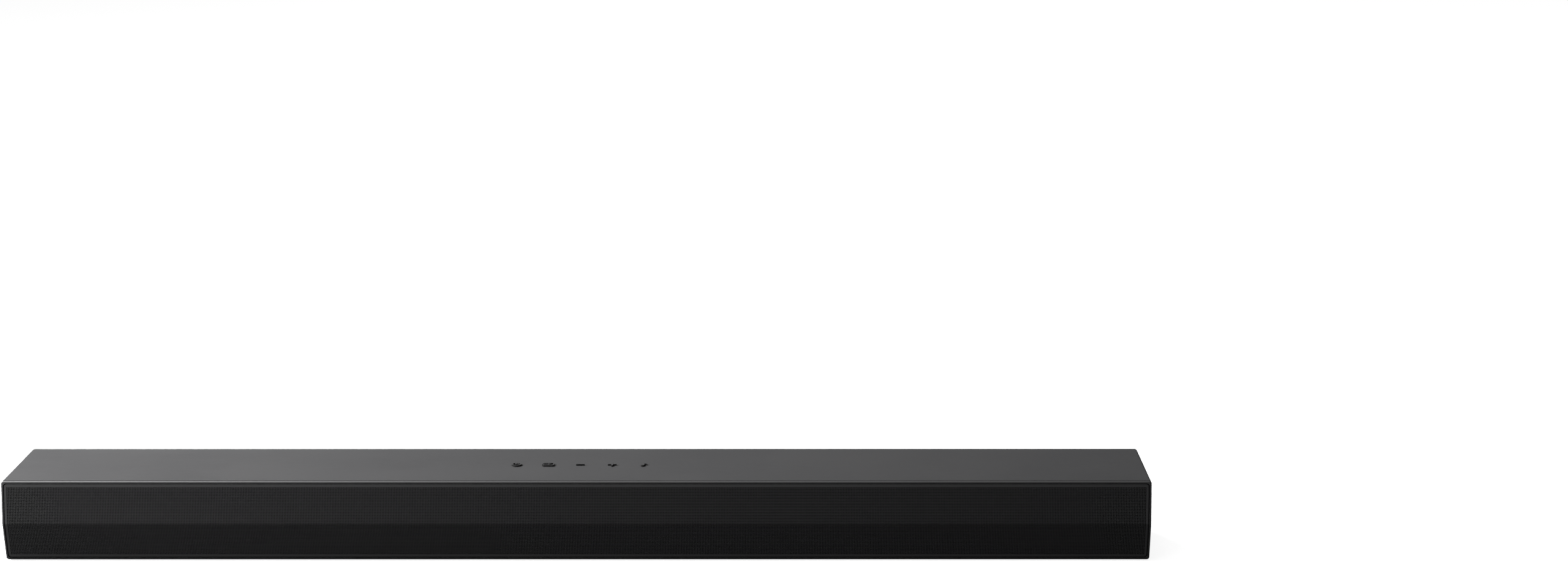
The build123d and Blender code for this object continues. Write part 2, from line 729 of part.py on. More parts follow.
with BuildPart() as switch_bodies:
    for _, _, x in keys:
        with BuildSketch(Plane.XY.offset(key_board_top)):
            with Locations((x, 0)):
                Rectangle(switch_w, switch_w)
        extrude(amount=switch_h)
        with BuildSketch(Plane.XY.offset(key_board_top + switch_h - plunger_hole_deep)):
            with Locations((x, 0)):
                Circle(plunger_hole_r)
        extrude(amount=plunger_hole_deep, mode=Mode.SUBTRACT)
save(switch_bodies, "switch_bodies")

with BuildPart() as key_board:
    with BuildSketch(Plane.XY.offset(key_board_top - key_board_t)):
        Rectangle(key_board_w, key_board_d)
        with Locations((-key_post_x, 0), (key_post_x, 0)):
            Circle(1.3, mode=Mode.SUBTRACT)
    extrude(amount=key_board_t)
save(key_board, "key_board")

# ================= Electronics =================

with BuildPart() as main_board:
    with BuildSketch(Plane.XY.offset(board_top - board_t)):
        with Locations((0, (board_y0 + board_y1) / 2)):
            Rectangle(board_w, board_y1 - board_y0)
        with Locations(*board_places):
            Circle(1.5, mode=Mode.SUBTRACT)
    extrude(amount=board_t)
save(main_board, "main_board")

with BuildPart() as board_screws:
    for places, top, s in (
        (board_places, board_top, 1),
        ([(-key_post_x, 0), (key_post_x, 0)], key_board_top - key_board_t, -1),
    ):
        with BuildSketch(Plane.XY.offset(top)):
            with Locations(*places):
                Circle(2.3)
        extrude(amount=s * 1.5)
        with BuildSketch(Plane.XY.offset(top)):
            with Locations(*places):
                Circle(1.0)
        extrude(amount=-s * 6.0)
        with BuildSketch(Plane.XY.offset(top + s * 0.7)):
            with Locations(*places):
                Rectangle(2.4, 0.5)
                Rectangle(0.5, 2.4)
        extrude(amount=s * 0.8, mode=Mode.SUBTRACT)
save(board_screws, "board_screws")

socket_y = recess_floor_y + socket_front


def socket_body(x, w, h, long):
    """The outside of a connector on the board, flush with the other connectors."""
    with BuildSketch(upright(socket_y)) as outside:
        with Locations((x, board_top + h / 2)):
            Rectangle(w, h)
    extrude(outside.sketch, amount=long)


with BuildPart() as dc_socket:
    socket_body(dc_x, 9.0, 11.0, 13.0)
    for y, r, mode in ((socket_y - 10, 2.8, Mode.SUBTRACT), (socket_y - 10, 1.0, Mode.ADD)):
        with BuildSketch(upright(y)):
            with Locations((dc_x, board_top + 6.5)):
                Circle(r)
        extrude(amount=-10 if mode == Mode.SUBTRACT else -9, mode=mode)
save(dc_socket, "dc_socket")

with BuildPart() as optical_socket:
    socket_body(optical_x, 10.0, 10.0, 13.0)
    with BuildSketch(upright(socket_y - 8)):
        with Locations((optical_x, board_top + 5.0)):
            Polygon(
                (-3.0, -3.0), (3.0, -3.0), (3.0, 1.6), (1.6, 3.0), (-1.6, 3.0), (-3.0, 1.6), align=None
            )
    extrude(amount=-8, mode=Mode.SUBTRACT)
save(optical_socket, "optical_socket")

with BuildPart() as hdmi_socket:
    socket_body(hdmi_x, 15.2, 6.2, 12.0)
    with BuildSketch(upright(socket_y - 9)):
        with Locations((hdmi_x, board_top + 3.1)):
            Polygon(
                (-7.0, 2.3), (-7.0, -0.6), (-5.4, -2.3), (5.4, -2.3), (7.0, -0.6), (7.0, 2.3), align=None
            )
    extrude(amount=-9, mode=Mode.SUBTRACT)
    with BuildSketch(upright(socket_y - 9)):
        with Locations((hdmi_x, board_top + 3.5)):
            Rectangle(11.4, 0.8)
    extrude(amount=-7.5)
save(hdmi_socket, "hdmi_socket")

with BuildPart() as usb_socket:
    socket_body(usb_x, 13.2, 6.6, 14.0)
    with BuildSketch(upright(socket_y - 10)):
        with Locations((usb_x, board_top + 3.3)):
            Rectangle(12.4, 5.2)
    extrude(amount=-10, mode=Mode.SUBTRACT)
    with BuildSketch(upright(socket_y - 10)):
        with Locations((usb_x, board_top + 4.3)):
            Rectangle(11.1, 1.8)
    extrude(amount=-8.5)
save(usb_socket, "usb_socket")

sink_x, sink_y, sink_w, sink_d, sink_h = -80.0, 10.0, 26.0, 20.0, 16.0

with BuildPart() as board_chips:
    chips = ((sink_x, sink_y, 14.0, 14.0, 1.2), (12.0, 8.0, 12.0, 12.0, 1.0), (42.0, 6.0, 8.0, 8.0, 0.9))
    for x, y, w, d, h in chips:
        with BuildSketch(Plane.XY.offset(board_top)):
            with Locations((x, y)):
                Rectangle(w, d)
        extrude(amount=h)
save(board_chips, "board_chips")

with BuildPart() as heat_sink:
    with BuildSketch(Plane.XY.offset(board_top + 1.2)):
        with Locations((sink_x, sink_y)):
            Rectangle(sink_w, sink_d)
    extrude(amount=2.5)
    with BuildSketch(Plane.XY.offset(board_top + 3.7)):
        with Locations((sink_x, sink_y)):
            with GridLocations(4.0, 0, 7, 1):
                Rectangle(1.2, sink_d)
    extrude(amount=sink_h - 3.7)
save(heat_sink, "heat_sink")

with BuildPart() as board_capacitors:
    with BuildSketch(Plane.XY.offset(board_top)):
        with Locations((-62, 4), (-50, 4), (-38, 4), (66, 2), (78, 2)):
            Circle(4.5)
    extrude(amount=16)
    fillet(faces().filter_by(Plane.XY).group_by(Axis.Z)[-1].edges(), 0.5)
save(board_capacitors, "board_capacitors")

with BuildPart() as led_board:
    with BuildSketch(upright(baffle_y)):
        with Locations((led_x, led_z + 2)):
            Rectangle(16, 10)
        with Locations((led_x, led_z)):
            Circle(led_lead_r, mode=Mode.SUBTRACT)
    extrude(amount=1.0)
save(led_board, "led_board")

with BuildPart() as status_leds:
    with BuildSketch(upright(baffle_y - 1.0)):
        with Locations((led_x - 5, led_z + 4), (led_x, led_z + 4), (led_x + 5, led_z + 4)):
            Rectangle(2.0, 1.2)
    extrude(amount=0.8)
save(status_leds, "status_leds")

# ================= Leads =================


def lead(points, r):
    """A round lead through those points, with an arc at each corner."""
    with BuildLine() as path:
        FilletPolyline(*points, radius=lead_bend)
    with BuildSketch(Plane(origin=path.line @ 0, z_dir=path.line % 0)) as round_section:
        Circle(r)
    sweep(round_section.sketch, path=path.line)


terminal_x = straight / 2 + frame_r
inside_y = baffle_y + 9.0

with BuildPart() as speaker_leads:
    for s in (-1, 1):
        into = side_chamber_low_x + 34
        lead(
            [
                (s * side_lead_x, side_lead_y, board_top), (s * side_lead_x, side_lead_y, lead_z),
                (s * into, side_lead_y, lead_z), (s * into, inside_y, lead_z),
                (s * into, inside_y, mid_z), (s * (side_driver_x - terminal_x), inside_y, mid_z),
            ],
            lead_r,
        )
    lead(
        [
            (center_lead_x, side_lead_y, board_top), (center_lead_x, side_lead_y, lead_z),
            (center_lead_x, inside_y, lead_z), (center_lead_x, inside_y, mid_z),
            (-terminal_x, inside_y, mid_z),
        ],
        lead_r,
    )
save(speaker_leads, "speaker_leads")

with BuildPart() as control_leads:
    lead(
        [(led_x, baffle_y - 1.0, led_z), (led_x, led_lead_y, led_z), (led_x, led_lead_y, board_top)],
        led_lead_r,
    )
    with BuildSketch(Plane.XY.offset(board_top)):
        with Locations((28, 3)):
            Rectangle(10, 0.6)
    extrude(amount=key_board_top - key_board_t - board_top)
save(control_leads, "control_leads")
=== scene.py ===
import math

import bpy
import numpy as np
from bpy.props import FloatProperty, FloatVectorProperty, IntProperty, PointerProperty
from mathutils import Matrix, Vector


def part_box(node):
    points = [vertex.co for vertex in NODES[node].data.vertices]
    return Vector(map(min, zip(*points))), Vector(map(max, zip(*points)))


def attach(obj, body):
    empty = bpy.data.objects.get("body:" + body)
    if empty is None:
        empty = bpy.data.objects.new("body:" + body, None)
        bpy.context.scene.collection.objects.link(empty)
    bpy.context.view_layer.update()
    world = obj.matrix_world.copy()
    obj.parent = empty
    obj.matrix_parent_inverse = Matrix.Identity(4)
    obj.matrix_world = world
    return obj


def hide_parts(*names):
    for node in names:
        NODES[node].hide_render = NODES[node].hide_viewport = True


bl_info = {
    "name": "Soundbar",
    "version": (1, 0, 0),
    "blender": (4, 5, 0),
    "location": "View3D > Sidebar > Soundbar",
    "description": "A soundbar with a perforated folded grille, symbol keys and a rear connector recess",
    "category": "Object",
}

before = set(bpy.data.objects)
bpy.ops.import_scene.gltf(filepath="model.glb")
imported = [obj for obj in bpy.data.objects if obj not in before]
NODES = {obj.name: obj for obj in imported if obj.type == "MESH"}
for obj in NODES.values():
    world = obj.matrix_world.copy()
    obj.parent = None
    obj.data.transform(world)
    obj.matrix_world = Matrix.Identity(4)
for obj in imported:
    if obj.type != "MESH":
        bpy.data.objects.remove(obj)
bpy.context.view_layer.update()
CABINET = "cabinet"
MM = 0.001


def box_mm(node):
    """Lowest and highest corner of a CAD node, in millimetres."""
    low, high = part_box(node)
    return np.array(low) / MM, np.array(high) / MM


GRILLE_LOW, GRILLE_HIGH = box_mm("front_grille")
CLOTH_LOW, CLOTH_HIGH = box_mm("acoustic_cloth")
INSERT_LOW, INSERT_HIGH = box_mm("wall_inserts")
COVER_LOW, COVER_HIGH = box_mm("top_cover")

SIDES = ("left", "center", "right")
KEYS = ("power", "input", "volume_down", "volume_up", "pairing")

GRILLE_CORNER = 2.2  # radius of the grille's corners, in millimetres
GRILLE_ROUND = 0.6  # radius of the grille's rounded front edge, in millimetres
BORE_MINOR, THREAD_DEEP = 1.65, 0.32  # the inserts' minor radius and thread depth, in millimetres
GROOVE = (-0.03722, -0.03648)  # depths of the fine line round the cabinet, inside which shade is painted
GROOVE_PAINTED_SHADE = (0.001, 0.001, 0.001)  # painted shade: the groove's inside is painted near black, as hardly any light gets into it
# painted shade: near black for the keys' sideways faces, where little light falls
FLANK_PAINTED_SHADE = (0.0015, 0.0015, 0.0015)
DUST = (0.32, 0.31, 0.29)
FLOOR_TO_BAR = (0.08, 0.08, 0.08)  # the floor's colour to everything but the camera
FLOOR_GLOW = 0.86  # the floor's own light, to the camera only
FLOOR_HALF = 20.0
AIM = (-0.1, 0.0, 0.0)
SOFTBOX, OVERHEAD_BOX = 0.8, 2.0
CAMERA_PLACE = (0.15289, -1.83616, 0.63948)
CAMERA_DOWN, CAMERA_TURN = 13.3375, -0.0129  # degrees
CAMERA_LENS, CAMERA_SENSOR = 58.53, 36.0


# ---------------------------------------------------------------- sizes and colours

class SOUNDBAR_PG_sizes(bpy.types.PropertyGroup):
    """Sizes of the pieces that are made here."""

    hole_pitch_x: FloatProperty(
        name="Hole Pitch Along", description="From hole to hole along the bar",
        default=1.188 * MM, subtype="DISTANCE", unit="LENGTH", precision=6)
    hole_pitch_s: FloatProperty(
        name="Hole Pitch Up", description="From hole to hole up the folded sheet",
        default=1.147 * MM, subtype="DISTANCE", unit="LENGTH", precision=6)
    hole: FloatProperty(
        name="Hole", description="Side of each square hole",
        default=0.84 * MM, subtype="DISTANCE", unit="LENGTH", precision=6)
    columns: IntProperty(name="Columns", description="Holes along the bar", default=709)
    rows_above: IntProperty(name="Rows Above", description="Rows of holes above the ridge", default=24)
    rows_below: IntProperty(name="Rows Below", description="Rows of holes below the ridge", default=22)
    ridge_height: FloatProperty(
        name="Ridge Height", description="Height of the front's ridge",
        default=30.5 * MM, subtype="DISTANCE", unit="LENGTH", precision=5)
    nose: FloatProperty(
        name="Nose", description="How far the ridge stands ahead of the front's edges",
        default=4.3 * MM, subtype="DISTANCE", unit="LENGTH", precision=5)
    sheet: FloatProperty(
        name="Sheet", description="Thickness of the grille's sheet",
        default=0.8 * MM, subtype="DISTANCE", unit="LENGTH", precision=5)
    thread_pitch: FloatProperty(
        name="Thread Pitch", description="Pitch of the wall inserts' thread",
        default=0.7 * MM, subtype="DISTANCE", unit="LENGTH", precision=5)


class SOUNDBAR_PG_colours(bpy.types.PropertyGroup):
    """Colours of the finishes and strength of the light."""

    cabinet: FloatVectorProperty(
        name="Cabinet", description="Moulded casing and keys", subtype="COLOR", size=3,
        min=0, max=1, default=(0.040, 0.040, 0.041))
    grille: FloatVectorProperty(
        name="Grille", description="Powder-coated front sheet", subtype="COLOR", size=3,
        min=0, max=1, default=(0.040, 0.040, 0.041))
    cloth: FloatVectorProperty(
        name="Cloth", description="Acoustic cloth behind the grille", subtype="COLOR", size=3,
        min=0, max=1, default=(0.006, 0.006, 0.006))
    floor: FloatVectorProperty(
        name="Floor", description="Pale floor", subtype="COLOR", size=3,
        min=0, max=1, default=(0.90, 0.90, 0.90))
    key_light: FloatProperty(
        name="Key Light", description="Power of the large light at the upper left",
        default=64.0, subtype="POWER", unit="POWER")
    fill_light: FloatProperty(
        name="Fill Light", description="Power of the light over the floor",
        default=8.0, subtype="POWER", unit="POWER")
    front_light: FloatProperty(
        name="Front Light", description="Power of the low light in front of the bar",
        default=9.0, subtype="POWER", unit="POWER")
    rear_light: FloatProperty(
        name="Rear Light", description="Power of the soft light behind the bar",
        default=14.0, subtype="POWER", unit="POWER")
    room_light: FloatProperty(
        name="Room Light", description="Brightness of the room around", default=0.09)


def sizes():
    return bpy.context.scene.soundbar_sizes


def colours():
    return bpy.context.scene.soundbar_colours


# ---------------------------------------------------------------- surfaces

def mesh_object(name, points, faces, body, smooth=True):
    """A new piece from points in millimetres, at the origin, that rides on a CAD body."""
    mesh = bpy.data.meshes.new(name)
    mesh.from_pydata((np.asarray(points, float).reshape(-1, 3) * MM).tolist(), [], faces.tolist())
    mesh.validate()
    mesh.polygons.foreach_set("use_smooth", np.full(len(mesh.polygons), smooth))
    piece = bpy.data.objects.new(name, mesh)
    bpy.context.scene.collection.objects.link(piece)
    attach(piece, body)
    return piece


def grid_faces(rows, columns, wrap_rows=False, wrap_columns=False):
    """Quads of a grid of points, row by row: each joins a point, the next along, and the two below."""
    r = np.arange(rows if wrap_rows else rows - 1)
    c = np.arange(columns if wrap_columns else columns - 1)
    r, c = np.meshgrid(r, c, indexing="ij")
    r1, c1 = (r + 1) % rows, (c + 1) % columns
    quads = np.stack([r * columns + c, r * columns + c1, r1 * columns + c1, r1 * columns + c], -1)
    return quads.reshape(-1, 4)


def outward(points, faces):
    """The faces of closed shells, turned round together if they point inwards: the volume they enclose is
    the sum of each quad's two tetrahedra with the origin, and is negative if they do."""
    a, b, c, d = (np.asarray(points).reshape(-1, 3)[faces[:, k]] for k in range(4))
    volume = (a * np.cross(b, c)).sum() + (a * np.cross(c, d)).sum()
    return faces if volume > 0 else faces[:, ::-1]


def many(faces, count, points_each):
    """The same faces for each of count equal pieces whose points follow one another."""
    return (faces[None] + (np.arange(count) * points_each)[:, None, None]).reshape(-1, faces.shape[1])


def front_depth(z, setback=0.0):
    """Depth of the folded front at height z: the ridge's depth, plus the nose times the share of the way
    from the ridge to the top or the bottom edge of the cabinet."""
    s = sizes()
    ridge, nose = s.ridge_height / MM, s.nose / MM
    top, low = COVER_HIGH[2], COVER_LOW[2]
    share = np.where(z > ridge, (z - ridge) / (top - ridge), (ridge - z) / (ridge - low))
    return COVER_LOW[1] + setback + nose * share


def on_fold(s, inward, setback):
    """Depth and height of a point s up the folded sheet from its ridge (down where s is negative), moved
    inward at right angles to its facet: ridge + s times the facet's direction + inward times its normal."""
    p = sizes()
    ridge, nose = p.ridge_height / MM, p.nose / MM
    up = math.atan2(nose, COVER_HIGH[2] - ridge)
    down = math.atan2(nose, ridge - COVER_LOW[2])
    lean = np.where(s >= 0, up, down)
    sign = np.where(s >= 0, 1.0, -1.0)
    y = COVER_LOW[1] + setback + np.abs(s) * np.sin(lean) + inward * np.cos(lean)
    z = ridge + s * np.cos(lean) - sign * inward * np.sin(lean)
    return y, z


def rounded_outline(low, high, radius, ridge, steps=8):
    """Points round an upright rectangle with rounded corners, anticlockwise from the front, with their
    outward normals: each corner's centre plus the radius times its normal, and a point at the ridge's
    height on each side."""
    angles = np.linspace(0, math.pi / 2, steps + 1)
    turn = np.concatenate([angles + k * math.pi / 2 for k in range(4)])
    nx, nz = np.cos(turn), np.sin(turn)
    k = np.repeat(np.arange(4), steps + 1)
    cx = np.where((k == 0) | (k == 3), high[0] - radius, low[0] + radius)
    cz = np.where((k == 0) | (k == 1), high[2] - radius, low[2] + radius)
    x, z = cx + radius * nx, cz + radius * nz
    half = 2 * (steps + 1)
    x = np.concatenate([[high[0]], x[:half], [low[0]], x[half:]])
    z = np.concatenate([[ridge], z[:half], [ridge], z[half:]])
    nx = np.concatenate([[1.0], nx[:half], [-1.0], nx[half:]])
    nz = np.concatenate([[0.0], nz[:half], [0.0], nz[half:]])
    return x, z, nx, nz


def perforated_grille():
    """The folded front sheet. Its plain border is one closed section carried round a rounded rectangle:
    inner edge, front, a quarter-round edge, the return's outside, its end and its inside. Between, upright
    bars follow the fold and level bars run along it; where they cross, they leave square holes."""
    p = sizes()
    px, ps, hole, sheet = p.hole_pitch_x / MM, p.hole_pitch_s / MM, p.hole / MM, p.sheet / MM
    setback = GRILLE_LOW[1] - COVER_LOW[1]
    ridge = p.ridge_height / MM
    half_x = p.columns * px / 2
    s_top, s_low = p.rows_above * ps, -p.rows_below * ps
    edge = (px - hole) / 2
    # The border. The bars run a little way under it, and their fronts lie a hair behind its own, at two
    # depths, so that no two faces share a plane.
    under, upright_back, level_back = 0.2, 0.02, 0.01
    x, z, nx, nz = rounded_outline(GRILLE_LOW, GRILLE_HIGH, GRILLE_CORNER, ridge)
    turns = np.linspace(0, math.pi / 2, 5)
    inner_x = np.clip(x, -half_x + edge, half_x - edge)
    up = math.atan2(p.nose / MM, COVER_HIGH[2] - ridge)
    down = math.atan2(p.nose / MM, ridge - COVER_LOW[2])
    s_here = np.where(z >= ridge, (z - ridge) / math.cos(up), (z - ridge) / math.cos(down))
    inner_s = np.clip(s_here, s_low + edge, s_top - edge)
    ring = []
    for inward in (sheet, 0.0):
        y_in, z_in = on_fold(inner_s, inward, setback)
        ring.append(np.stack([inner_x, y_in, z_in], -1))
    for a in turns:
        inset, back = GRILLE_ROUND * (1 - math.sin(a)), GRILLE_ROUND * (1 - math.cos(a))
        xa, za = x - inset * nx, z - inset * nz
        ring.append(np.stack([xa, front_depth(za, setback) + back, za], -1))
    end = np.full_like(x, GRILLE_HIGH[1])
    ring.append(np.stack([x, end, z], -1))
    xi, zi = x - sheet * nx, z - sheet * nz
    ring.append(np.stack([xi, end, zi], -1))
    ring.append(np.stack([xi, front_depth(zi, setback) + sheet * 1.3, zi], -1))
    ring = np.stack(ring, 0)
    points = [ring.reshape(-1, 3)]
    faces = [outward(ring, grid_faces(ring.shape[0], ring.shape[1], wrap_rows=True, wrap_columns=True))]
    count = ring.shape[0] * ring.shape[1]
    # The upright bars.
    bar = px - hole
    centres = -half_x + px * np.arange(1, p.columns)
    s_path = np.array([s_top + under, 0.0, s_low - under])
    section = np.array([
        [-bar / 2, sheet], [-bar / 2, upright_back], [bar / 2, upright_back], [bar / 2, sheet]])
    y, z = on_fold(s_path[:, None], section[None, :, 1], setback)
    shape = (len(centres), 3, 4)
    bars = np.stack([
        np.broadcast_to(centres[:, None, None] + section[None, None, :, 0], shape),
        np.broadcast_to(y[None], shape), np.broadcast_to(z[None], shape)], -1)
    points.append(bars.reshape(-1, 3))
    one = np.concatenate([grid_faces(3, 4, wrap_columns=True), [[0, 3, 2, 1], [8, 9, 10, 11]]])
    faces.append(outward(bars, many(one, len(centres), 12)) + count)
    count += bars.size // 3
    # The level bars.
    bar = ps - hole
    s_mid = s_low + ps * np.arange(1, p.rows_above + p.rows_below)
    section = np.array([
        [bar / 2, sheet], [bar / 2, level_back], [0.0, level_back], [-bar / 2, level_back],
        [-bar / 2, sheet], [0.0, sheet]])
    y, z = on_fold(s_mid[:, None] + section[None, :, 0], section[None, :, 1], setback)
    ends = np.array([-half_x - under, half_x + under])
    shape = (len(s_mid), 2, 6)
    bars = np.stack([
        np.broadcast_to(ends[None, :, None], shape),
        np.broadcast_to(y[:, None], shape), np.broadcast_to(z[:, None], shape)], -1)
    points.append(bars.reshape(-1, 3))
    one = np.concatenate([
        grid_faces(2, 6, wrap_columns=True), [[0, 5, 2, 1], [5, 4, 3, 2], [6, 7, 8, 11], [11, 8, 9, 10]]])
    faces.append(outward(bars, many(one, len(s_mid), 12)) + count)
    piece = mesh_object(
        "perforated_grille", np.concatenate(points), np.concatenate(faces), CABINET,
        smooth=False)
    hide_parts("front_grille")
    return piece


def stretched_cloth():
    """The acoustic cloth: a sheet over the folded front, its height a straight run from the lower to the
    upper edge and its depth the fold's."""
    x = np.linspace(CLOTH_LOW[0], CLOTH_HIGH[0], 61)
    ridge = sizes().ridge_height / MM
    z = np.concatenate([np.linspace(CLOTH_LOW[2], ridge, 8)[:-1], np.linspace(ridge, CLOTH_HIGH[2], 8)])
    zz, xx = np.meshgrid(z, x, indexing="ij")
    yy = front_depth(zz, CLOTH_LOW[1] - COVER_LOW[1])
    piece = mesh_object(
        "stretched_cloth", np.stack([xx, yy, zz], -1), grid_faces(len(z), len(x)), CABINET,
        smooth=False)
    wall = piece.modifiers.new("Thickness", "SOLIDIFY")
    wall.thickness, wall.offset = 0.35 * MM, -1.0
    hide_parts("acoustic_cloth")
    return piece


def threaded_insert(x, z):
    """One brass insert: a closed section turned about its axis. Its bore's radius is the minor radius plus
    the thread's depth times a triangle wave of the depth along the bore less the turn, which is a helix."""
    around, along = 48, 90
    lead_in, chamfer, mouth_r = 0.5, 0.25, 2.2
    turn = np.linspace(0, 2 * math.pi, around, endpoint=False)
    depth = np.linspace(lead_in, INSERT_HIGH[1] - INSERT_LOW[1], along)
    pitch = sizes().thread_pitch / MM
    phase = (depth[:, None] / pitch - turn[None] / (2 * math.pi)) % 1.0
    bore = BORE_MINOR + THREAD_DEEP * np.abs(2 * phase - 1)
    outside = (INSERT_HIGH[2] - INSERT_LOW[2]) / 2
    ones = np.ones(around)
    r = np.concatenate([[outside * ones, outside * ones, (outside - chamfer) * ones, mouth_r * ones], bore])
    d = np.concatenate([
        [depth[-1] * ones, chamfer * ones, 0.0 * ones, 0.0 * ones],
        np.broadcast_to(depth[:, None], bore.shape)])
    points = np.stack([x + r * np.cos(turn), INSERT_HIGH[1] - d, z + r * np.sin(turn)], -1)
    return points, grid_faces(len(r), around, wrap_rows=True, wrap_columns=True)


def wall_inserts():
    """Both threaded inserts, as one piece."""
    x_out = (INSERT_HIGH[0] - INSERT_LOW[0]) / 2 - (INSERT_HIGH[2] - INSERT_LOW[2]) / 2
    z = (INSERT_LOW[2] + INSERT_HIGH[2]) / 2
    left, quads = threaded_insert(-x_out, z)
    right, _ = threaded_insert(x_out, z)
    quads = outward(left, quads)
    faces = np.concatenate([quads, quads + left.shape[0] * left.shape[1]])
    points = np.concatenate([left.reshape(-1, 3), right.reshape(-1, 3)])
    piece = mesh_object("threaded_inserts", points, faces, CABINET)
    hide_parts("wall_inserts")
    return piece


def contact_strips(x, width, y, z, thick):
    """Contacts side by side: one rectangular section, width by thick, carried along each strip's path of
    depths y and heights z."""
    across = np.array([-width / 2, width / 2, width / 2, -width / 2])
    over = np.array([0.0, 0.0, thick, thick])
    shape = (len(x), len(y), 4)
    points = np.stack([
        np.broadcast_to(np.asarray(x)[:, None, None] + across, shape),
        np.broadcast_to(np.asarray(y)[None, :, None], shape),
        np.broadcast_to(np.asarray(z)[None, :, None] + over, shape)], -1)
    n = len(y)
    last = 4 * (n - 1)
    one = np.concatenate([
        grid_faces(n, 4, wrap_columns=True), [[0, 3, 2, 1]], [[last, last + 1, last + 2, last + 3]]])
    return points.reshape(-1, 3), outward(points, many(one, len(x), 4 * n))


def socket_contacts():
    """Contacts on the tongues of the two data sockets: strips that bend up at their tips."""
    low, high = box_mm("usb_socket")
    usb_x, usb_z, mouth = (low[0] + high[0]) / 2, low[2], high[1]
    path_y = mouth - np.array([9.6, 7.0, 4.0, 2.4, 1.8])
    path_z = usb_z + 3.4 - np.array([0.16, 0.16, 0.30, 0.20, 0.12])
    groups = [contact_strips(usb_x + np.array([-3.5, -1.0, 1.0, 3.5]), 1.0, path_y, path_z, 0.12)]
    low, high = box_mm("hdmi_socket")
    video_x, video_z, mouth = (low[0] + high[0]) / 2, low[2], high[1]
    path_y = mouth - np.array([8.6, 6.0, 3.0, 2.1])
    flat = np.zeros(4)
    groups.append(contact_strips(video_x + np.arange(-4.5, 5.0, 1.0), 0.4, path_y, video_z + 3.9 + flat, 0.1))
    groups.append(contact_strips(video_x + np.arange(-4.0, 4.5, 1.0), 0.4, path_y, video_z + 3.0 + flat, 0.1))
    points, faces, count = [], [], 0
    for group_points, group_faces in groups:
        points.append(group_points)
        faces.append(group_faces + count)
        count += len(group_points)
    return mesh_object(
        "socket_contacts", np.concatenate(points), np.concatenate(faces), CABINET,
        smooth=False)


# ---------------------------------------------------------------- shared effects

def new_group(name, inputs, outputs):
    """An empty shader group with named number inputs and outputs, and its input and output nodes."""
    group = bpy.data.node_groups.new(name, "ShaderNodeTree")
    for label, kind, value in inputs:
        socket = group.interface.new_socket(label, in_out="INPUT", socket_type=kind)
        socket.default_value = value
    for label, kind in outputs:
        group.interface.new_socket(label, in_out="OUTPUT", socket_type=kind)
    return group, group.nodes.new("NodeGroupInput"), group.nodes.new("NodeGroupOutput")


def maths(tree, operation, a, b=None, clamp=False):
    """A Math node; each of a and b is a number or an output socket."""
    node = tree.nodes.new("ShaderNodeMath")
    node.operation = operation
    node.use_clamp = clamp
    for socket, value in zip(node.inputs, (a, b)):
        if value is None:
            continue
        if isinstance(value, (int, float)):
            socket.default_value = value
        else:
            tree.links.new(value, socket)
    return node.outputs[0]


def object_point(tree):
    return tree.nodes.new("ShaderNodeTexCoord").outputs["Object"]


def noise(tree, scale, detail=2.0, rough=0.5, vector=None):
    """A noise texture on the object's own coordinates; scale is a number or an output socket."""
    node = tree.nodes.new("ShaderNodeTexNoise")
    node.inputs["Detail"].default_value = detail
    node.inputs["Roughness"].default_value = rough
    if isinstance(scale, (int, float)):
        node.inputs["Scale"].default_value = scale
    else:
        tree.links.new(scale, node.inputs["Scale"])
    tree.links.new(vector or object_point(tree), node.inputs["Vector"])
    return node.outputs["Fac"]


def remap(tree, value, low, high, to_low=0.0, to_high=1.0):
    """A smooth step of value from low to high."""
    node = tree.nodes.new("ShaderNodeMapRange")
    node.interpolation_type = "SMOOTHSTEP"
    tree.links.new(value, node.inputs["Value"])
    for label, number in (("From Min", low), ("From Max", high), ("To Min", to_low), ("To Max", to_high)):
        if isinstance(number, (int, float)):
            node.inputs[label].default_value = number
        else:
            tree.links.new(number, node.inputs[label])
    return node.outputs["Result"]


def moulded_texture_group():
    """Spark-eroded mould texture: fine cells under a finer noise, and a slow change of tone."""
    group, given, out = new_group(
        "Moulded Texture", [("Scale", "NodeSocketFloat", 1600.0)],
        [("Height", "NodeSocketFloat"), ("Tone", "NodeSocketFloat")])
    cells = group.nodes.new("ShaderNodeTexVoronoi")
    cells.feature = "SMOOTH_F1"
    group.links.new(object_point(group), cells.inputs["Vector"])
    group.links.new(given.outputs["Scale"], cells.inputs["Scale"])
    fine = noise(group, maths(group, "MULTIPLY", given.outputs["Scale"], 2.3), 3.0, 0.6)
    height = maths(group, "ADD", maths(group, "MULTIPLY", cells.outputs["Distance"], 0.6),
                   maths(group, "MULTIPLY", fine, 0.5))
    tone = maths(group, "MULTIPLY", noise(group, 14.0, 4.0, 0.6), noise(group, 230.0, 2.0))
    group.links.new(height, out.inputs["Height"])
    group.links.new(maths(group, "MULTIPLY", tone, 4.0, clamp=True), out.inputs["Tone"])
    return group


def worn_edges_group():
    """Edges rubbed smooth: where the surface's normal and its rounded normal part, broken up by noise."""
    group, given, out = new_group(
        "Worn Edges", [("Radius", "NodeSocketFloat", 0.0005)], [("Mask", "NodeSocketFloat")])
    bevel = group.nodes.new("ShaderNodeBevel")
    bevel.samples = 4
    group.links.new(given.outputs["Radius"], bevel.inputs["Radius"])
    flat = group.nodes.new("ShaderNodeNewGeometry")
    dot = group.nodes.new("ShaderNodeVectorMath")
    dot.operation = "DOT_PRODUCT"
    group.links.new(bevel.outputs["Normal"], dot.inputs[0])
    group.links.new(flat.outputs["Normal"], dot.inputs[1])
    edge = remap(group, maths(group, "SUBTRACT", 1.0, dot.outputs["Value"]), 0.02, 0.25)
    group.links.new(maths(group, "MULTIPLY", edge, remap(group, noise(group, 90.0, 3.0), 0.35, 0.62)),
                    out.inputs["Mask"])
    return group


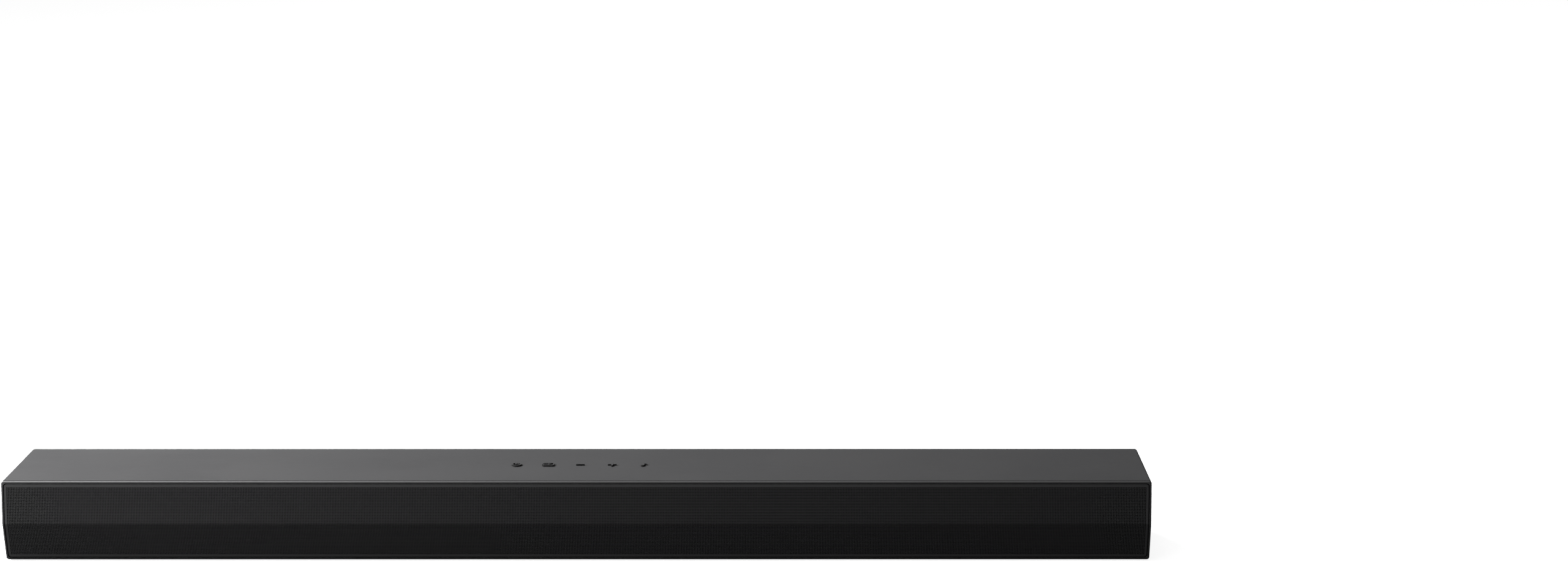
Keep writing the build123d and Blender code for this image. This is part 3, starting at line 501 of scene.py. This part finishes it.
def settled_dust_group():
    """Dust on faces that look up: the normal's height, broken up by two noises."""
    group, given, out = new_group(
        "Settled Dust", [("Amount", "NodeSocketFloat", 0.2)], [("Mask", "NodeSocketFloat")])
    flat = group.nodes.new("ShaderNodeNewGeometry")
    parts = group.nodes.new("ShaderNodeSeparateXYZ")
    group.links.new(flat.outputs["Normal"], parts.inputs["Vector"])
    upward = remap(group, parts.outputs["Z"], 0.75, 0.98)
    specks = remap(group, noise(group, 900.0, 2.0, 0.7), 0.60, 0.72)
    drift = remap(group, noise(group, 11.0, 3.0), 0.40, 0.70)
    spread = maths(group, "ADD", maths(group, "MULTIPLY", specks, 0.7), maths(group, "MULTIPLY", drift, 0.3))
    mask = maths(group, "MULTIPLY", maths(group, "MULTIPLY", spread, upward), given.outputs["Amount"])
    group.links.new(mask, out.inputs["Mask"])
    return group


def flank_shade_group():
    """Mask of the painted shade on faces that look sideways: one less the size of the normal's height, with a
    steep step.
    """
    group, _, out = new_group("Flank Painted Shade", [], [("Mask", "NodeSocketFloat")])
    flat = group.nodes.new("ShaderNodeNewGeometry")
    parts = group.nodes.new("ShaderNodeSeparateXYZ")
    group.links.new(flat.outputs["Normal"], parts.inputs["Vector"])
    level = maths(group, "ABSOLUTE", parts.outputs["Z"])
    group.links.new(remap(group, level, 0.75, 0.45), out.inputs["Mask"])
    return group


def groove_shade_group():
    """Mask of the painted shade in the fine line round the cabinet: points whose depth lies between the
    group's two depths.
    """
    group, given, out = new_group(
        "Groove Painted Shade", [("From", "NodeSocketFloat", 0.0), ("To", "NodeSocketFloat", 0.0)],
        [("Mask", "NodeSocketFloat")])
    parts = group.nodes.new("ShaderNodeSeparateXYZ")
    group.links.new(object_point(group), parts.inputs["Vector"])
    after = maths(group, "GREATER_THAN", parts.outputs["Y"], given.outputs["From"])
    before = maths(group, "LESS_THAN", parts.outputs["Y"], given.outputs["To"])
    group.links.new(maths(group, "MULTIPLY", after, before), out.inputs["Mask"])
    return group


def handling_marks_group():
    """Faint marks of hands and cloths: stretched soft noise, as a share to vary the roughness by."""
    group, given, out = new_group(
        "Handling Marks", [("Scale", "NodeSocketFloat", 18.0)], [("Mask", "NodeSocketFloat")])
    turn = group.nodes.new("ShaderNodeMapping")
    turn.inputs["Scale"].default_value = (0.35, 1.0, 1.0)
    turn.inputs["Rotation"].default_value = (0.0, 0.0, 0.3)
    group.links.new(object_point(group), turn.inputs["Vector"])
    marks = noise(group, given.outputs["Scale"], 5.0, 0.65, turn.outputs["Vector"])
    group.links.new(remap(group, marks, 0.38, 0.68), out.inputs["Mask"])
    return group


def woven_threads_group():
    """A plain weave in the plane of X and Z: two sets of rounded threads, each over the other in turn."""
    group, given, out = new_group(
        "Woven Threads", [("Threads", "NodeSocketFloat", 2500.0)],
        [("Height", "NodeSocketFloat"), ("Hole", "NodeSocketFloat")])
    parts = group.nodes.new("ShaderNodeSeparateXYZ")
    group.links.new(object_point(group), parts.inputs["Vector"])
    turns = maths(group, "MULTIPLY", given.outputs["Threads"], math.pi)
    warp = maths(group, "ABSOLUTE", maths(group, "SINE", maths(group, "MULTIPLY", parts.outputs["X"], turns)))
    weft = maths(group, "ABSOLUTE", maths(group, "SINE", maths(group, "MULTIPLY", parts.outputs["Z"], turns)))
    height = maths(group, "MAXIMUM", warp, weft)
    group.links.new(height, out.inputs["Height"])
    group.links.new(remap(group, height, 0.35, 0.15), out.inputs["Hole"])
    return group


def drawn_lines_group():
    """Fine lines of rolled or drawn metal: noise stretched along the object's X."""
    group, given, out = new_group(
        "Drawn Lines", [("Scale", "NodeSocketFloat", 900.0)], [("Height", "NodeSocketFloat")])
    turn = group.nodes.new("ShaderNodeMapping")
    turn.inputs["Scale"].default_value = (0.03, 1.0, 1.0)
    group.links.new(object_point(group), turn.inputs["Vector"])
    streaks = noise(group, given.outputs["Scale"], 4.0, 0.7, turn.outputs["Vector"])
    group.links.new(streaks, out.inputs["Height"])
    return group


def board_tracks_group():
    """Copper tracks under lacquer: the borders between square cells, and round pads at their middles."""
    group, given, out = new_group(
        "Board Tracks", [("Scale", "NodeSocketFloat", 260.0)], [("Mask", "NodeSocketFloat")])
    cells = group.nodes.new("ShaderNodeTexVoronoi")
    cells.distance = "CHEBYCHEV"
    cells.inputs["Randomness"].default_value = 0.6
    group.links.new(object_point(group), cells.inputs["Vector"])
    group.links.new(given.outputs["Scale"], cells.inputs["Scale"])
    pads = remap(group, cells.outputs["Distance"], 0.16, 0.10)
    rings = maths(group, "ABSOLUTE", maths(group, "SUBTRACT", maths(group, "FRACT", maths(
        group, "MULTIPLY", cells.outputs["Distance"], 4.0)), 0.5))
    lines = remap(group, rings, 0.40, 0.46)
    group.links.new(maths(group, "MAXIMUM", pads, lines), out.inputs["Mask"])
    return group


GROUPS = {}


def shared(name):
    """The shared effect of that name, built the first time it is asked for."""
    makers = {
        "texture": moulded_texture_group, "edges": worn_edges_group, "dust": settled_dust_group,
        "flank_shade": flank_shade_group, "groove_shade": groove_shade_group, "marks": handling_marks_group,
        "weave": woven_threads_group, "lines": drawn_lines_group, "tracks": board_tracks_group}
    if name not in GROUPS:
        GROUPS[name] = makers[name]()
    return GROUPS[name]


def place_group(tree, name, **values):
    node = tree.nodes.new("ShaderNodeGroup")
    node.node_tree = shared(name)
    for label, value in values.items():
        node.inputs[label].default_value = value
    return node


def mixed(tree, mask, a, b):
    """Colour a where the mask is 0 and b where it is 1; each is a colour or an output socket."""
    node = tree.nodes.new("ShaderNodeMix")
    node.data_type = "RGBA"
    tree.links.new(mask, node.inputs["Factor"])
    for socket, value in ((node.inputs[6], a), (node.inputs[7], b)):
        if isinstance(value, tuple):
            socket.default_value = (*value, 1.0)
        else:
            tree.links.new(value, socket)
    return node.outputs[2]


# ---------------------------------------------------------------- finishes

def lit(colour, by):
    return tuple(min(1.0, c * by) for c in colour)


def finish(name, colour, rough, texture=1600.0, depth=0.15, metal=0.0, edges=0.0, dust=0.0, marks=0.06,
           specular=0.5, relief="texture", tone=0.12, edge_radius=0.0005, flank_shade=None, groove_shade=None):
    """A finish: base colour with a change of tone, rubbed edges and dust, roughness with handling marks, and
    a fine relief from one of the shared effects. The faces that look sideways may be painted dark and matte,
    as painted shade, and a groove between two depths may be painted near black, as painted shade where no
    light gets in."""
    material = bpy.data.materials.new(name)
    material.use_nodes = True
    tree = material.node_tree
    shader = tree.nodes["Principled BSDF"]
    shader.inputs["IOR"].default_value = 1.5
    shader.inputs["Specular IOR Level"].default_value = specular
    shader.inputs["Metallic"].default_value = metal
    surface = place_group(tree, "texture", Scale=texture)
    base = mixed(tree, surface.outputs["Tone"], lit(colour, 1 - tone), lit(colour, 1 + tone))
    if edges:
        worn = place_group(tree, "edges", Radius=edge_radius)
        base = mixed(tree, maths(tree, "MULTIPLY", worn.outputs["Mask"], edges), base, lit(colour, 2.2))
    if dust:
        settled = place_group(tree, "dust", Amount=dust)
        base = mixed(tree, settled.outputs["Mask"], base, DUST)
    hands = place_group(tree, "marks", Scale=18.0)
    gloss = remap(tree, hands.outputs["Mask"], 0.0, 1.0, rough + marks, rough - marks)
    # painted shade: the inside of the groove between the two depths gets a near-black base colour
    if groove_shade:
        line = place_group(tree, "groove_shade", From=groove_shade[0], To=groove_shade[1])
        base = mixed(tree, line.outputs["Mask"], base, GROOVE_PAINTED_SHADE)
    # painted shade: the sideways faces get a near-black base colour, and are made matte
    if flank_shade:
        sideways = place_group(tree, "flank_shade").outputs["Mask"]
        base = mixed(tree, sideways, base, flank_shade)
        gloss = maths(tree, "MAXIMUM", gloss, maths(tree, "MULTIPLY", sideways, 0.95))
    tree.links.new(base, shader.inputs["Base Color"])
    tree.links.new(gloss, shader.inputs["Roughness"])
    bump = tree.nodes.new("ShaderNodeBump")
    bump.inputs["Strength"].default_value = depth
    bump.inputs["Distance"].default_value = 0.0002
    if relief == "texture":
        tree.links.new(surface.outputs["Height"], bump.inputs["Height"])
    elif relief == "lines":
        tree.links.new(place_group(tree, "lines", Scale=texture).outputs["Height"], bump.inputs["Height"])
    tree.links.new(bump.outputs["Normal"], shader.inputs["Normal"])
    return material


def cloth_finish(name, colour, threads, rough=0.9):
    """Woven cloth: threads in relief, and painted shade where the weave opens between them."""
    material = bpy.data.materials.new(name)
    material.use_nodes = True
    tree = material.node_tree
    shader = tree.nodes["Principled BSDF"]
    shader.inputs["Roughness"].default_value = rough
    shader.inputs["Sheen Weight"].default_value = 0.15
    shader.inputs["Sheen Roughness"].default_value = 0.5
    shader.inputs["Specular IOR Level"].default_value = 0.15
    weave = place_group(tree, "weave", Threads=threads)
    # painted shade: the gaps between the threads are a quarter as bright
    base = mixed(tree, weave.outputs["Hole"], colour, lit(colour, 0.25))
    surface = place_group(tree, "texture", Scale=2500.0)
    base = mixed(tree, maths(tree, "MULTIPLY", surface.outputs["Tone"], 0.3), base, lit(colour, 1.8))
    tree.links.new(base, shader.inputs["Base Color"])
    bump = tree.nodes.new("ShaderNodeBump")
    bump.inputs["Strength"].default_value = 0.6
    bump.inputs["Distance"].default_value = 0.0001
    tree.links.new(weave.outputs["Height"], bump.inputs["Height"])
    tree.links.new(bump.outputs["Normal"], shader.inputs["Normal"])
    return material


def board_finish(name):
    """A circuit board: green lacquer over copper tracks, which show lighter and stand up a little."""
    material = bpy.data.materials.new(name)
    material.use_nodes = True
    tree = material.node_tree
    shader = tree.nodes["Principled BSDF"]
    shader.inputs["Roughness"].default_value = 0.35
    tracks = place_group(tree, "tracks", Scale=260.0)
    surface = place_group(tree, "texture", Scale=700.0)
    base = mixed(tree, surface.outputs["Tone"], (0.010, 0.085, 0.040), (0.014, 0.105, 0.050))
    base = mixed(tree, tracks.outputs["Mask"], base, (0.035, 0.22, 0.10))
    tree.links.new(base, shader.inputs["Base Color"])
    bump = tree.nodes.new("ShaderNodeBump")
    bump.inputs["Strength"].default_value = 0.4
    bump.inputs["Distance"].default_value = 0.00005
    tree.links.new(tracks.outputs["Mask"], bump.inputs["Height"])
    tree.links.new(bump.outputs["Normal"], shader.inputs["Normal"])
    return material


def paint_nodes(material, *names):
    """Gives CAD nodes a finish, in place of the one they were packed with."""
    for name in names:
        NODES[name].data.materials.clear()
        NODES[name].data.materials.append(material)


def grained(piece, material):
    piece.data.materials.clear()
    piece.data.materials.append(material)


# ---------------------------------------------------------------- operators

class SOUNDBAR_OT_grille(bpy.types.Operator):
    """Make the perforated, folded front sheet"""

    bl_idname = "soundbar.grille"
    bl_label = "Perforated Grille"

    def execute(self, context):
        coat = finish("grille_powder_coat", tuple(colours().grille), 0.55, texture=2400.0, depth=0.10,
                      marks=0.01, tone=0.03, specular=0.4)
        grained(perforated_grille(), coat)
        return {"FINISHED"}


class SOUNDBAR_OT_cloth(bpy.types.Operator):
    """Make the acoustic cloth that is stretched behind the grille"""

    bl_idname = "soundbar.cloth"
    bl_label = "Acoustic Cloth"

    def execute(self, context):
        grained(stretched_cloth(), cloth_finish("acoustic_cloth_weave", tuple(colours().cloth), 2500.0))
        return {"FINISHED"}


class SOUNDBAR_OT_inserts(bpy.types.Operator):
    """Make the threaded brass inserts of the wall bracket"""

    bl_idname = "soundbar.inserts"
    bl_label = "Threaded Inserts"

    def execute(self, context):
        brass = finish("insert_brass_turned", (0.72, 0.50, 0.22), 0.30, texture=2000.0, depth=0.05, metal=1.0,
                       relief="lines")
        grained(wall_inserts(), brass)
        return {"FINISHED"}


class SOUNDBAR_OT_contacts(bpy.types.Operator):
    """Make the contacts in the data sockets"""

    bl_idname = "soundbar.contacts"
    bl_label = "Socket Contacts"

    def execute(self, context):
        gold = finish("contact_gold", (0.85, 0.62, 0.25), 0.25, texture=3000.0, depth=0.03, metal=1.0,
                      relief="lines")
        grained(socket_contacts(), gold)
        return {"FINISHED"}


class SOUNDBAR_OT_casing(bpy.types.Operator):
    """Give the casing, keys, feet and screws their finishes"""

    bl_idname = "soundbar.casing"
    bl_label = "Casing Finishes"

    def execute(self, context):
        cabinet = tuple(colours().cabinet)
        # the groove round the top cover is painted near black: painted shade
        paint_nodes(finish("cabinet_moulding", cabinet, 0.50, depth=0.12, edges=0.06, dust=0.03,
                           marks=0.02, tone=0.04, groove_shade=GROOVE), "top_cover")
        # the keys' sideways faces are painted dark: painted shade on the symbols' walls
        paint_nodes(finish("key_moulding", cabinet, 0.46, texture=1900.0, marks=0.02, tone=0.04,
                           flank_shade=FLANK_PAINTED_SHADE),
                    *["key_" + k for k in KEYS])
        paint_nodes(finish("tray_moulding", lit(cabinet, 0.7), 0.58, texture=1100.0, depth=0.22, edges=0.2),
                    "base_tray", "rear_panel", "connector_bay")
        paint_nodes(finish("foot_rubber", (0.018, 0.018, 0.018), 0.78, texture=900.0, depth=0.3),
                    "rubber_feet")
        paint_nodes(finish("screw_black_oxide", (0.05, 0.05, 0.055), 0.38, texture=2200.0, metal=0.9,
                           depth=0.06, edges=0.5, relief="lines", edge_radius=0.0002),
                    "case_screws", "front_screws", "board_screws")
        paint_nodes(finish("inner_moulding", (0.025, 0.025, 0.027), 0.55, texture=1200.0),
                    "grille_carrier", "baffle", *[s + "_chamber" for s in SIDES])
        return {"FINISHED"}


class SOUNDBAR_OT_drivers(bpy.types.Operator):
    """Give the drivers' pieces their finishes"""

    bl_idname = "soundbar.drivers"
    bl_label = "Driver Finishes"

    def execute(self, context):
        def each(kind):
            return [s + "_" + kind for s in SIDES]
        paint_nodes(finish("driver_frame_moulding", (0.035, 0.035, 0.037), 0.5), *each("driver_frame"))
        paint_nodes(finish("surround_rubber", (0.015, 0.015, 0.016), 0.42, depth=0.05), *each("surround"))
        paint_nodes(finish("cone_pressed_fibre", (0.05, 0.048, 0.045), 0.8, texture=700.0, depth=0.5,
                           tone=0.25), *each("cone"))
        paint_nodes(finish("coil_enamelled_copper", (0.55, 0.22, 0.09), 0.3, texture=3500.0, metal=0.9,
                           depth=0.4, relief="lines"), *each("voice_coil"))
        paint_nodes(cloth_finish("spider_weave", (0.42, 0.27, 0.08), 1800.0, 0.8), *each("spider"))
        paint_nodes(finish("magnet_sintered", (0.06, 0.06, 0.065), 0.6, texture=1300.0, depth=0.3),
                    "driver_magnets")
        paint_nodes(finish("motor_zinc_plate", (0.55, 0.55, 0.54), 0.32, texture=800.0, metal=1.0, depth=0.08,
                           relief="lines"), *each("motor_steel"))
        paint_nodes(finish("gasket_foam", (0.02, 0.02, 0.02), 0.9, texture=1500.0, depth=0.6),
                    "driver_gaskets")
        return {"FINISHED"}


class SOUNDBAR_OT_electronics(bpy.types.Operator):
    """Give the boards, connectors and leads their finishes"""

    bl_idname = "soundbar.electronics"
    bl_label = "Electronics Finishes"

    def execute(self, context):
        paint_nodes(board_finish("board_lacquer"), "main_board", "key_board", "led_board")
        paint_nodes(finish("switch_moulding", (0.05, 0.05, 0.05), 0.45), "switch_bodies",
                    *["plunger_" + k for k in KEYS])
        paint_nodes(finish("light_lens", (0.8, 0.8, 0.75), 0.2, depth=0.02), "status_leds")
        paint_nodes(finish("socket_moulding", (0.018, 0.018, 0.018), 0.42, depth=0.06),
                    "dc_socket", "optical_socket")
        paint_nodes(finish("socket_nickel", (0.62, 0.61, 0.58), 0.28, texture=1500.0, metal=1.0, depth=0.05,
                           relief="lines"), "hdmi_socket", "usb_socket")
        paint_nodes(finish("chip_resin", (0.03, 0.03, 0.032), 0.6, texture=1500.0), "board_chips")
        paint_nodes(finish("heat_sink_aluminium", (0.6, 0.6, 0.61), 0.35, texture=700.0, metal=1.0, depth=0.1,
                           relief="lines"), "heat_sink")
        paint_nodes(finish("capacitor_sleeve", (0.03, 0.03, 0.06), 0.3, depth=0.04), "board_capacitors")
        paint_nodes(finish("lead_insulation", (0.12, 0.02, 0.02), 0.5, texture=1400.0, depth=0.05),
                    "speaker_leads", "control_leads")
        return {"FINISHED"}


def floor_material():
    """A pale floor. What the camera sees of it also glows, so that it stays pale far from the lights; the
    light it throws back at the bar is that of a much darker floor."""
    material = bpy.data.materials.new("pale_floor")
    material.use_nodes = True
    tree = material.node_tree
    shader = tree.nodes["Principled BSDF"]
    shader.inputs["Roughness"].default_value = 0.9
    shader.inputs["Specular IOR Level"].default_value = 0.1
    eye = tree.nodes.new("ShaderNodeLightPath").outputs["Is Camera Ray"]
    pale = tuple(colours().floor)
    seen = mixed(tree, noise(tree, 40.0, 3.0), lit(pale, 0.99), pale)
    tree.links.new(mixed(tree, eye, FLOOR_TO_BAR, seen), shader.inputs["Base Color"])
    shader.inputs["Emission Color"].default_value = (1.0, 1.0, 1.0, 1.0)
    tree.links.new(maths(tree, "MULTIPLY", eye, FLOOR_GLOW), shader.inputs["Emission Strength"])
    return material


def room_world(strength):
    """The room: dim to the bar, and as pale as the floor to the eye."""
    world = bpy.data.worlds.new("room")
    world.use_nodes = True
    tree = world.node_tree
    back = tree.nodes["Background"]
    back.inputs["Color"].default_value = (1.0, 1.0, 1.0, 1.0)
    eye = tree.nodes.new("ShaderNodeLightPath").outputs["Is Camera Ray"]
    tree.links.new(maths(tree, "MAXIMUM", eye, strength), back.inputs["Strength"])
    return world


def area_light(name, place, size, power):
    """A square soft light that looks at a point a little left of the bar's middle."""
    light = bpy.data.lights.new(name, "AREA")
    light.shape = "RECTANGLE"
    light.size, light.size_y = size, size
    light.energy = power
    holder = bpy.data.objects.new(name, light)
    holder.location = place
    holder.rotation_mode = "QUATERNION"
    holder.rotation_quaternion = (Vector(AIM) - Vector(place)).to_track_quat("-Z", "Y")
    bpy.context.scene.collection.objects.link(holder)
    return holder


class SOUNDBAR_OT_stage(bpy.types.Operator):
    """Make the floor, the lights, the room and the camera"""

    bl_idname = "soundbar.stage"
    bl_label = "Stage"

    def execute(self, context):
        c = colours()
        side = np.linspace(-FLOOR_HALF, FLOOR_HALF, 5)
        y, x = np.meshgrid(side, side, indexing="ij")
        mesh = bpy.data.meshes.new("floor")
        points = np.stack([x, y, np.zeros_like(x)], -1).reshape(-1, 3)
        mesh.from_pydata(points.tolist(), [], grid_faces(5, 5).tolist())
        floor = bpy.data.objects.new("floor", mesh)
        bpy.context.scene.collection.objects.link(floor)
        floor.data.materials.append(floor_material())
        area_light("upper_left_softbox", (-1.1, -0.01, 1.1), SOFTBOX, c.key_light)
        area_light("overhead_softbox", (-0.4, -0.2, 2.4), OVERHEAD_BOX, c.fill_light)
        area_light("low_front_softbox", (-1.3, -1.6, 0.3), SOFTBOX, c.front_light)
        rear = area_light("rear_softbox", (-0.8, 1.3, 1.1), SOFTBOX, c.rear_light)
        rear.visible_glossy = False
        bpy.context.scene.world = room_world(c.room_light)
        bpy.context.scene.view_settings.view_transform = "Standard"
        lens = bpy.data.cameras.new("camera")
        lens.sensor_width = CAMERA_SENSOR
        lens.lens = CAMERA_LENS
        lens.clip_start, lens.clip_end = 0.05, 60.0
        camera = bpy.data.objects.new("camera", lens)
        camera.location = CAMERA_PLACE
        camera.rotation_euler = (math.radians(90.0 - CAMERA_DOWN), 0.0, math.radians(CAMERA_TURN))
        bpy.context.scene.collection.objects.link(camera)
        bpy.context.scene.camera = camera
        return {"FINISHED"}


class SOUNDBAR_PT_panel(bpy.types.Panel):
    """Lists the soundbar's pieces, sizes and colours"""

    bl_idname = "SOUNDBAR_PT_panel"
    bl_label = "Soundbar"
    bl_space_type = "VIEW_3D"
    bl_region_type = "UI"
    bl_category = "Soundbar"

    def draw(self, context):
        for operator in OPERATORS:
            self.layout.operator(operator.bl_idname)
        for group in (context.scene.soundbar_sizes, context.scene.soundbar_colours):
            box = self.layout.box()
            for label in group.__annotations__:
                box.prop(group, label)


OPERATORS = (
    SOUNDBAR_OT_grille, SOUNDBAR_OT_cloth, SOUNDBAR_OT_inserts, SOUNDBAR_OT_contacts, SOUNDBAR_OT_casing,
    SOUNDBAR_OT_drivers, SOUNDBAR_OT_electronics, SOUNDBAR_OT_stage)
CLASSES = (SOUNDBAR_PG_sizes, SOUNDBAR_PG_colours, *OPERATORS, SOUNDBAR_PT_panel)


def register():
    for cls in CLASSES:
        bpy.utils.register_class(cls)
    bpy.types.Scene.soundbar_sizes = PointerProperty(type=SOUNDBAR_PG_sizes)
    bpy.types.Scene.soundbar_colours = PointerProperty(type=SOUNDBAR_PG_colours)


def unregister():
    del bpy.types.Scene.soundbar_colours
    del bpy.types.Scene.soundbar_sizes
    for cls in reversed(CLASSES):
        bpy.utils.unregister_class(cls)


def main():
    """Makes every piece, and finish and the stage."""
    register()
    bpy.ops.soundbar.grille()
    bpy.ops.soundbar.cloth()
    bpy.ops.soundbar.inserts()
    bpy.ops.soundbar.contacts()
    bpy.ops.soundbar.casing()
    bpy.ops.soundbar.drivers()
    bpy.ops.soundbar.electronics()
    bpy.ops.soundbar.stage()
    bpy.context.view_layer.update()


if __name__ == "__main__":
    main()
